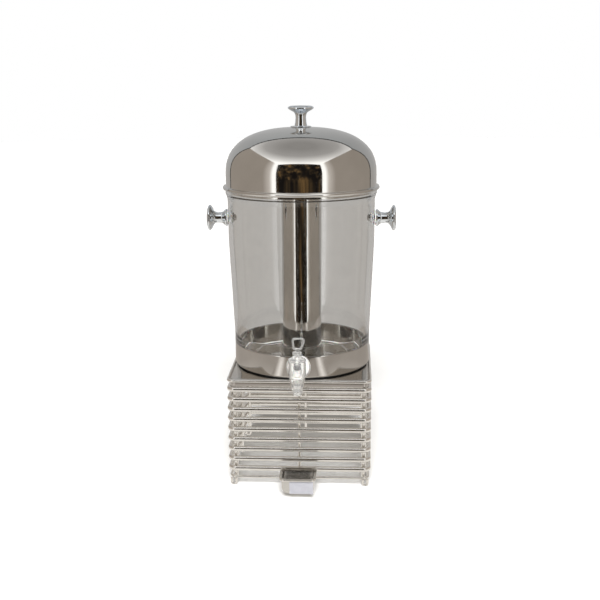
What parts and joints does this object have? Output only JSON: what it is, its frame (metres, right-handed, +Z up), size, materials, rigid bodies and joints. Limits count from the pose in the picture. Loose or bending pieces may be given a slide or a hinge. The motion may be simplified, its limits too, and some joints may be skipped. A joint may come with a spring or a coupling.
{
  "type": "beverage dispenser",
  "caption": "Clear drink tank with an ice tube, domed steel lid, side knobs and a front tap, on a square wire cage stand with a drip tray.",
  "frame": {"origin": "centre of the whole object in plan, on the surface that the feet stand on", "axes": "+Z up, -Y towards the tap and the drip tray, +X to the right of a person who faces the tap; the tank axis is vertical at x 0, y 0.02025"},
  "size_m": [0.2862, 0.2764, 0.558],
  "materials": {
    "polished_steel": "mirror-polished stainless steel, faint wipe marks",
    "wire_chrome": "polished steel rod",
    "knob_chrome": "bright chrome plate",
    "fastener_steel": "satin",
    "clear_tank": "clear, glossy",
    "clear_tap": "clear, slightly cloudy",
    "black_rubber": "matt",
    "white_silicone": "satin, translucent",
    "white_plastic": "moulded"
  },
  "bodies": {
    "stand": {"hoop_1": "wire_chrome", "hoop_2": "wire_chrome", "hoop_3": "wire_chrome", "hoop_4": "wire_chrome", "hoop_5": "wire_chrome", "hoop_6": "wire_chrome", "hoop_7": "wire_chrome", "hoop_8": "wire_chrome", "hoop_9": "wire_chrome", "top_rail": "wire_chrome", "bottom_rail": "wire_chrome", "corner_post_front_left": "wire_chrome", "corner_post_front_right": "wire_chrome", "corner_post_back_right": "wire_chrome", "corner_post_back_left": "wire_chrome", "middle_rod_front": "wire_chrome", "middle_rod_right": "wire_chrome", "middle_rod_back": "wire_chrome", "middle_rod_left": "wire_chrome", "top_plate": "polished_steel", "foot_front_left": "wire_chrome", "foot_front_right": "wire_chrome", "foot_back_right": "wire_chrome", "foot_back_left": "wire_chrome", "tray_cradle": "wire_chrome"},
    "tank": {"base_pad": "black_rubber", "base_pan": "polished_steel", "tank_seal": "white_silicone", "tank_shell": "clear_tank", "ice_tube_socket": "clear_tank", "side_knob_left": "knob_chrome", "side_knob_outer_gasket_left": "white_silicone", "side_knob_inner_gasket_left": "white_silicone", "side_knob_washer_left": "fastener_steel", "side_knob_bolt_left": "fastener_steel", "side_knob_right": "knob_chrome", "side_knob_outer_gasket_right": "white_silicone", "side_knob_inner_gasket_right": "white_silicone", "side_knob_washer_right": "fastener_steel", "side_knob_bolt_right": "fastener_steel", "tap_body": "clear_tap", "tap_outer_gasket": "white_silicone", "tap_inner_gasket": "white_silicone", "tap_nut": "white_plastic", "tap_bonnet": "clear_tap", "lever_pin": "fastener_steel"},
    "ice_tube": {"ice_tube": "polished_steel"},
    "lid": {"lid_shell": "polished_steel", "lid_knob_washer": "knob_chrome", "lid_knob": "knob_chrome", "lid_inner_washer": "fastener_steel", "lid_knob_screw": "fastener_steel"},
    "tap_lever": {"tap_lever": "clear_tap"},
    "tap_stem": {"tap_stem": "white_plastic", "stem_seal": "black_rubber", "tap_seat": "white_silicone"},
    "drip_tray": {"drip_tray": "polished_steel"},
    "drip_grille": {"drip_grille": "fastener_steel"}
  },
  "joints": [
    {"name": "tank_lift", "type": "slide", "parent": "stand", "child": "tank", "axis": [0, 0, 1], "range_m": [0, 0.08]},
    {"name": "ice_tube_lift", "type": "slide", "parent": "tank", "child": "ice_tube", "axis": [0, 0, 1], "range_m": [0, 0.28]},
    {"name": "lid_lift", "type": "slide", "parent": "ice_tube", "child": "lid", "axis": [0, 0, 1], "range_m": [0, 0.12]},
    {"name": "tap_lever_tilt", "type": "hinge", "parent": "tank", "child": "tap_lever", "pos_m": [0, -0.11975, 0.2167], "axis": [1, 0, 0], "range_deg": [0, 35], "stiffness_Nm_per_rad": 0.05, "springref_deg": -5.73},
    {"name": "tap_stem_lift", "type": "slide", "parent": "tank", "child": "tap_stem", "axis": [0, 0, 1], "range_m": [0, 0.0034]},
    {"name": "drip_tray_lift", "type": "slide", "parent": "stand", "child": "drip_tray", "axis": [0, 0, 1], "range_m": [0, 0.05]},
    {"name": "drip_grille_lift", "type": "slide", "parent": "drip_tray", "child": "drip_grille", "axis": [0, 0, 1], "range_m": [0, 0.035]}
  ],
  "couplings": [
    {"joint": "tap_stem_lift", "follows": "tap_lever_tilt", "m_per_rad": 0.0049}
  ]
}
